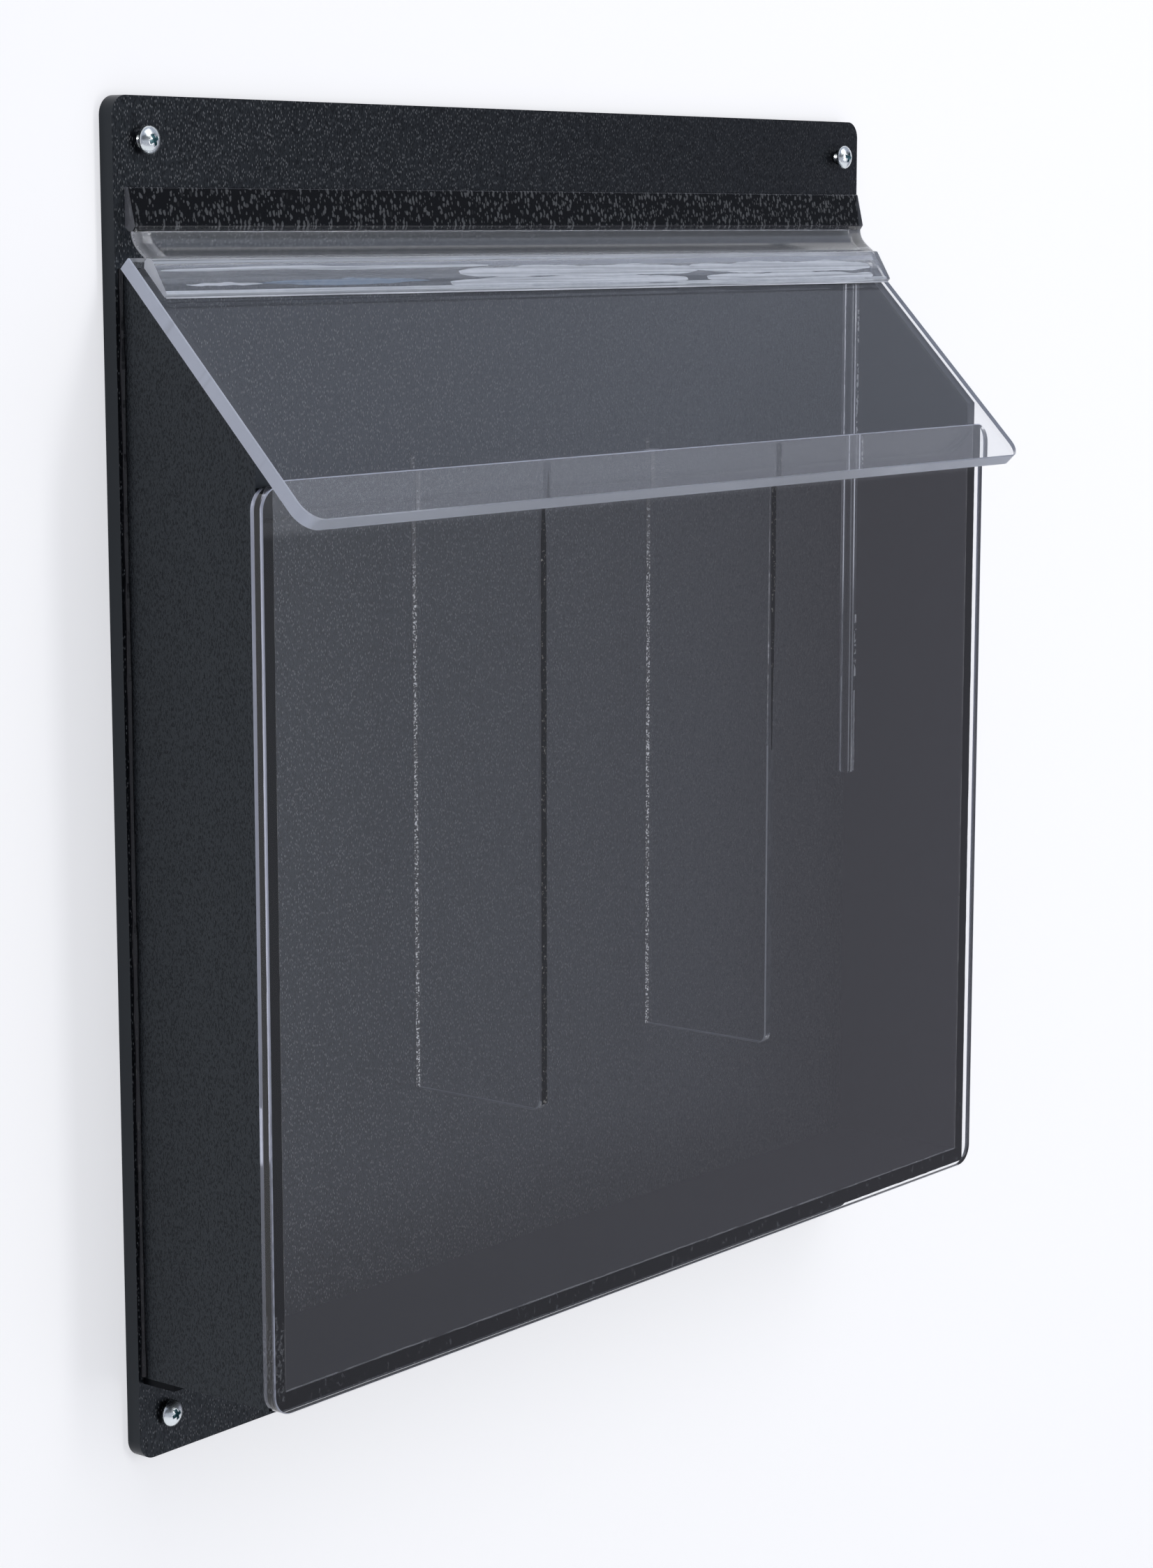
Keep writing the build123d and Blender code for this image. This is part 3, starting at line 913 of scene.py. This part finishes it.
# %% Smears under the lower leaf
# For each smear, in mm: its two ends across the lid, how far down the lid it lies and its width. Then
# come its seed, how slowly it closes at its ends, and 0 for the white coat or 1 for the blue one.
smears = {
    "middle_upper": (-44, 66, 7.7, 3.9, 31.7, 0.25, 0),
    "middle_lower": (-50, 58, 11.2, 3.2, 33.1, 0.25, 0),
    "right_upper": (62, 157, 7.6, 4.2, 37.3, 0.25, 0),
    "right_lower": (68, 156, 11.3, 3.4, 39.7, 0.25, 0),
    "left": (-126, -58, 10.2, 2.2, 41.9, 0.8, 1),
    "thread": (-158, -30, 5.4, 1.3, 43.3, 0.35, 0),
    "froth": (-152, -124, 10.3, 1.0, 44.9, 0.6, 0),
    # Painted light: these three lines stand for the glow of the leaf's edges.
    "heel_edge_glow": (-160.2, 162.8, 3.3, 0.5, 49.3, 0.02, 0),
    "lower_edge_glow_inner": (-160.4, 163, 12.3, 0.5, 45.7, 0.02, 0),
    "lower_edge_glow_outer": (-160.8, 163.4, 13.8, 0.55, 47.1, 0.02, 0),
}
smear_columns, smear_rows, smear_end, line_width = 90, 4, 0.002, 0.6
swell_share, swell_waves, drift_most, drift_waves = 0.35, 7, 0.8, 4

bm = bmesh.new()
for x0, x1, down, width, seed, close, coat in smears.values():
    held = len(bm.faces)
    drift = 0 if width < line_width else drift_most
    laid = bmesh.ops.create_grid(bm, x_segments=smear_columns, y_segments=smear_rows, size=0.5)
    for v in laid["verts"]:
        t, u = v.co.x + 0.5, v.co.y
        swell = math.sin(math.pi * min(max(t, smear_end), 1 - smear_end)) ** close
        uneven = noise.fractal(Vector((t * swell_waves, seed + (u > 0), 0)), 1, 2, 3)
        swell *= 1 + swell_share * uneven
        wander = drift * noise.noise(Vector((t * drift_waves, seed, 5)))
        v.co = on_lid((x0 + t * (x1 - x0)) * MM, (down + wander + u * width * swell) * MM, film_t)
    bm.faces.ensure_lookup_table()
    for f in bm.faces[held:]:
        f.material_index = coat
bm.normal_update()
bmesh.ops.recalc_face_normals(bm, faces=bm.faces[:])
bmesh.ops.solidify(bm, geom=bm.faces[:], thickness=-film_t / 2)
bmesh.ops.recalc_face_normals(bm, faces=bm.faces[:])
piece("hinge_lid_smears_and_glow", bm, [smear_and_glow_white, smear_blue], "lid")

# %% [markdown]
# ## Corner bars
# A square clear rod stands in each rear corner of the box. Its arrises are rounded, so each one draws
# a thin bright line, and its ends are cut square. The glue that holds it has left streaks and rows
# of bubbles on the rod, whitest at the foot, which is partly painted light for the glow that leaves
# the rod's bottom end. They are narrow films on its inner and front faces.

# %% Corner bar finishes
bar_hue, streak_white, bead_white = (0.98, 0.985, 1, 1), (0.85, 0.86, 0.86), (0.95, 0.95, 0.93)
bar_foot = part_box("corner_strip_right")[0].z
# Painted light in part: the streaks stay dense low on the rod, standing for the glow from its bottom end.
streak_foot_glow = (bar_foot + 25 * MM, bar_foot + 70 * MM, 0.3)
bar_clear = drawn_strip("clear_acrylic_bar", 0.002 * MM, bar_hue, drawn=(1, 1, 0.004))
streak_and_foot_glow = veiled_glue(
    "glue_streak_and_foot_glow", streak_white, 240, (1, 1, 0.05), (0.3, 0.5), 0.9, streak_foot_glow
)
beaded = veiled_glue("glue_beaded", bead_white, 1000, (1, 1, 0.6), (0.5, 0.56), 1.0)
print("bar finishes", bar_clear.name, streak_and_foot_glow.name, beaded.name)

# %% Corner bars and their glue
# For each run of glue: 0 for the bar's inner face or 1 for its front, then in mm how far in it starts
# and its width, and the shares of the bar's height between which it runs.
streaks = (
    (0, 0.75, 0.3, 0.92, 1.0),
    (0, 0.85, 0.35, 0.0, 0.2),
    (0, 0.8, 0.1, 0.2, 0.92),
    (1, 0.02, 0.4, 0.0, 1.0),
    (1, 2.7, 0.7, 0.0, 0.17),
)
beads = (
    (1, 2.9, 0.9, 0.62, 0.84),
    (1, 3.0, 0.8, 0.87, 0.95),
    (1, 2.9, 0.9, 0.2, 0.33),
    (1, 2.6, 1.0, 0.0, 0.12),
)
bar_round, bar_steps, bar_gap = 0.55 * MM, 4, 0.03 * MM
run_sway, run_grid = 0.06 * MM, (120, 2)

for name, turn, seed in (("corner_strip_left", -1, 81.3), ("corner_strip_right", 1, 87.7)):
    low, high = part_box(name)
    bm = bmesh.new()
    bmesh.ops.create_cube(bm, size=1)
    bmesh.ops.scale(bm, vec=high - low - Vector((bar_gap, bar_gap, 0)), verts=bm.verts[:])
    centre = (low + high) / 2 - Vector((turn * bar_gap, bar_gap, 0)) / 2
    bmesh.ops.translate(bm, vec=centre, verts=bm.verts[:])
    bmesh.ops.bevel(
        bm, geom=bm.edges[:], offset=bar_round, segments=bar_steps, profile=0.5, affect="EDGES", material=-1
    )
    for f in bm.faces:
        f.smooth = True
    bar = piece(name + "_rounded", bm, [bar_clear], "case")
    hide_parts(name)
    inner = low.x if turn > 0 else high.x
    foot_z, tall = low.z + bar_round, high.z - low.z - 2 * bar_round
    for kind, runs, coat in (("streaks", streaks, streak_and_foot_glow), ("bubbles", beads, beaded)):
        bm = bmesh.new()
        for face, offset, width, start, end in runs:
            z = foot_z + start * tall
            if face == 0:
                corner = Vector((inner - turn * film_t, high.y - offset * MM, z))
                across = Vector((0, -width * MM, 0))
            else:
                corner = Vector((inner + turn * offset * MM, low.y - film_t, z))
                across = Vector((turn * width * MM, 0, 0))
            along = Vector((0, 0, (end - start) * tall))
            ribbon(bm, corner, along, across, *run_grid, run_sway, seed + offset + start)
        thicken(bm, film_t / 2)
        piece(f"{name}_{kind}", bm, [coat], "case")

# %% [markdown]
# ## Weld beads
# Where the side panels stand on the plate, solvent cement has run out of the joint and set as a thin
# glossy black bead along the outside corner. A ring, spun straight up into a long rod, makes it: the
# part that would lie inside the sheets is flattened against them, and noise swells it here and there.

# %% Beads along the side panels
bead_black, bead_wave = (0.012, 0.012, 0.014, 1), 0.25 * MM
bead_r, bead_short, bead_steps, bead_sides = 1.0 * MM, 0.5 * MM, 150, 20
bead_swell, bead_swell_l, same_place = 0.4, 9 * MM, 0.005 * MM
bead_gloss, tree, out = finish("weld_bead")
runs = grain(tree, 420, (1, 1, 0.5))
bump = add(tree, "Bump", {"Height": runs, "Strength": 1.0, "Distance": bead_wave})
sockets = {"Base Color": blended(tree, runs, near_black, bead_black), "Normal": bump.outputs[0]}
sockets["Roughness"] = between(tree, runs, 0.3, 0.7, 0.1, 0.25)
cover(tree, out, add(tree, "BsdfPrincipled", sockets))

bm = bmesh.new()
for side, turn, seed in (("left_side", -1, 51.7), ("right_side", 1, 57.1)):
    low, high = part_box(side)
    x = low.x if turn < 0 else high.x
    rise = (high.z - low.z - 2 * bead_short) / bead_steps
    held = set(bm.verts)
    foot = Matrix.Translation((x, plate_low.y, low.z + bead_short))
    ring = bmesh.ops.create_circle(bm, segments=bead_sides, radius=bead_r, matrix=foot)["verts"]
    edges = list({e for v in ring for e in v.link_edges})
    bmesh.ops.spin(bm, geom=ring + edges, axis=(0, 0, 1), dvec=(0, 0, rise), angle=0, steps=bead_steps)
    for v in set(bm.verts) - held:
        uneven = noise.fractal(Vector((v.co.z / bead_swell_l, seed, 0)), 1, 2, 3)
        swell = 1 + bead_swell * uneven
        v.co.x = x + turn * max(turn * (v.co.x - x) * swell, -film_t)
        v.co.y = plate_low.y + min((v.co.y - plate_low.y) * swell, film_t)
bmesh.ops.holes_fill(bm, edges=[e for e in bm.edges if e.is_boundary], sides=0)
bmesh.ops.remove_doubles(bm, verts=bm.verts[:], dist=same_place)
bmesh.ops.recalc_face_normals(bm, faces=bm.faces[:])
piece("side_weld_beads", bm, [bead_gloss], "case")

# %% [markdown]
# ## Mounting screws
# The frame's screws have the right size but a plain dome. These are turned again from the same
# profile, the cross recess is cut with two tapered blades, and a thread is wound on the shank by
# spinning a small ridge while it moves along.

# %% Screw blank
head_r, head_h, head_rim, rim_round = 3.6 * MM, 2.4 * MM, 0.8 * MM, 0.18 * MM
neck_r, neck_l, root_r = 1.75 * MM, 6.6 * MM, 1.45 * MM
thread_r, thread_l, tip_l, pitch = 1.95 * MM, 19 * MM, 4 * MM, 1.45 * MM
dome_steps, turned_steps = 8, 40

dome_h = head_h - head_rim
dome_r = (head_r**2 + dome_h**2) / (2 * dome_h)
thread_end = -neck_l - thread_l
outline = []
for i in range(dome_steps + 1):
    r = head_r * i / dome_steps
    outline.append((r, head_h - dome_r + math.sqrt(dome_r**2 - r**2)))
outline += [(head_r, rim_round), (head_r - rim_round, 0), (neck_r, 0), (neck_r, -neck_l)]
outline += [(root_r, -neck_l - neck_r + root_r), (root_r, thread_end), (0, thread_end - tip_l)]
bm = bmesh.new()
profile = [bm.verts.new((r, 0, z)) for r, z in outline]
sides = [bm.edges.new(pair) for pair in zip(profile, profile[1:])]
bmesh.ops.spin(
    bm, geom=profile + sides, cent=(0, 0, 0), axis=(0, 0, 1),
    angle=math.tau, steps=turned_steps, use_merge=True,
)
bmesh.ops.remove_doubles(bm, verts=bm.verts[:], dist=0.002 * MM)
bmesh.ops.recalc_face_normals(bm, faces=bm.faces[:])
blank = bpy.data.meshes.new("screw_blank")
bm.to_mesh(blank)
bm.free()
print("screw blank,", len(blank.polygons), "faces")

# %% Cross recess
wing_l, wing_w, recess_deep = 4.3 * MM, 1.1 * MM, 1.5 * MM
foot_l_share, foot_w_share = 0.5, 0.8
blank_object = bpy.data.objects.new("screw_blank", blank)
scene.collection.objects.link(blank_object)
blades = []
for turn in (0, 90):
    bm = bmesh.new()
    bmesh.ops.create_cube(bm, size=1)
    bmesh.ops.scale(bm, vec=(wing_l, wing_w, 2 * recess_deep), verts=bm.verts[:])
    bmesh.ops.translate(bm, vec=(0, 0, head_h), verts=bm.verts[:])
    foot = [v for v in bm.verts if v.co.z < head_h]
    bmesh.ops.scale(bm, vec=(foot_l_share, foot_w_share, 1), verts=foot)
    crossed = Matrix.Rotation(math.radians(turn), 3, "Z")
    bmesh.ops.rotate(bm, cent=(0, 0, 0), matrix=crossed, verts=bm.verts[:])
    for f in bm.faces:
        f.material_index = 1
    mesh = bpy.data.meshes.new("blade")
    bm.to_mesh(mesh)
    bm.free()
    blade = bpy.data.objects.new("blade", mesh)
    scene.collection.objects.link(blade)
    blades.append(blade)
    cut = blank_object.modifiers.new("recess", "BOOLEAN")
    cut.operation, cut.object, cut.solver = "DIFFERENCE", blade, "EXACT"
shaped = blank_object.evaluated_get(bpy.context.evaluated_depsgraph_get())
recessed = bpy.data.meshes.new_from_object(shaped)
for spare in [blank_object, *blades]:
    bpy.data.objects.remove(spare)
print("screw head cut,", len(recessed.polygons), "faces")

# %% Thread
turns, per_turn, thread_gap, least_ridge = 14, 14, 0.4 * MM, 0.05
sunk_r, ridge_peak, ridge_foot = root_r * 0.98, 0.35 * pitch, 0.5 * pitch
start = -neck_l - thread_gap

bm = bmesh.new()
bm.from_mesh(recessed)
section = ((sunk_r, 0, start), (thread_r, 0, start - ridge_peak), (sunk_r, 0, start - ridge_foot))
ridge = [bm.verts.new(point) for point in section]
crest = [bm.edges.new(pair) for pair in zip(ridge, ridge[1:])]
old = set(bm.verts) - set(ridge)
bmesh.ops.spin(
    bm, geom=ridge + crest, cent=(0, 0, 0), axis=(0, 0, 1), dvec=(0, 0, -pitch / per_turn),
    angle=math.tau * turns, steps=turns * per_turn, use_merge=False,
)
for v in set(bm.verts) - old:
    if v.co.z < thread_end:
        share = max(least_ridge, 1 - (thread_end - v.co.z) / tip_l)
        v.co.x, v.co.y = v.co.x * share, v.co.y * share
wound = [f for f in bm.faces if not old.intersection(f.verts)]
bmesh.ops.recalc_face_normals(bm, faces=wound)
for f in bm.faces:
    f.smooth = f.material_index == 0
threaded = bpy.data.meshes.new("screw")
bm.to_mesh(threaded)
bm.free()
print("thread of", turns, "turns,", len(wound), "faces")

# %% [markdown]
# Bright zinc plate is a soft grey mirror with a bluish cast, slightly cloudy. The recess is painted a
# darker and greener zinc, its darkness painted shade for the little light it sees. The four screws are
# set in the places the frame gives, each turned as the driver left it.

# %% Screws in place
zinc_lumps, zinc_wave = 1500, 0.01 * MM


def zinc(name, hue, dull):
    """Zinc plate of this colour, clouded a little in colour and shine."""
    made, tree, out = finish(name)
    cloud = grain(tree, zinc_lumps, detail=3.0)
    tint = blended(tree, cloud, [x * 0.86 for x in hue] + [1], [*hue, 1])
    rough = between(tree, cloud, 0.25, 0.75, dull * 0.7, dull * 1.3)
    bump = add(tree, "Bump", {"Height": cloud, "Strength": 1.0, "Distance": zinc_wave})
    sockets = {"Base Color": tint, "Metallic": 1.0, "Roughness": rough, "Normal": bump.outputs[0]}
    cover(tree, out, add(tree, "BsdfPrincipled", sockets))
    return made


zinc_bright = zinc("zinc_bright", (0.82, 0.87, 0.88), 0.24)
# Painted shade: the recess zinc is darker than the head's, as the recess sees little light.
zinc_recess_painted_shade = zinc("zinc_recess_painted_shade", (0.42, 0.58, 0.61), 0.3)
driver_turns = {(-1, 1): 24, (1, 1): -12, (-1, -1): 20, (1, -1): 41}
screw_points = [v.co for v in nodes["mounting_screws"].data.vertices]

bm = bmesh.new()
for (side, level), turn in driver_turns.items():
    own = [p for p in screw_points if p.x * side > 0 and p.z * level > 0]
    x, z = [(min(p[i] for p in own) + max(p[i] for p in own)) / 2 for i in (0, 2)]
    under = min(p.y for p in own) + head_h
    held = len(bm.verts)
    bm.from_mesh(threaded)
    bm.verts.ensure_lookup_table()
    place = Matrix.Translation((x, under, z)) @ Matrix.Rotation(quarter, 4, "X")
    place = place @ Matrix.Rotation(math.radians(turn), 4, "Z")
    bmesh.ops.transform(bm, matrix=place, verts=bm.verts[held:])
screws = piece("mounting_screws_cut", bm, [zinc_bright, zinc_recess_painted_shade], "case")
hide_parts("mounting_screws")
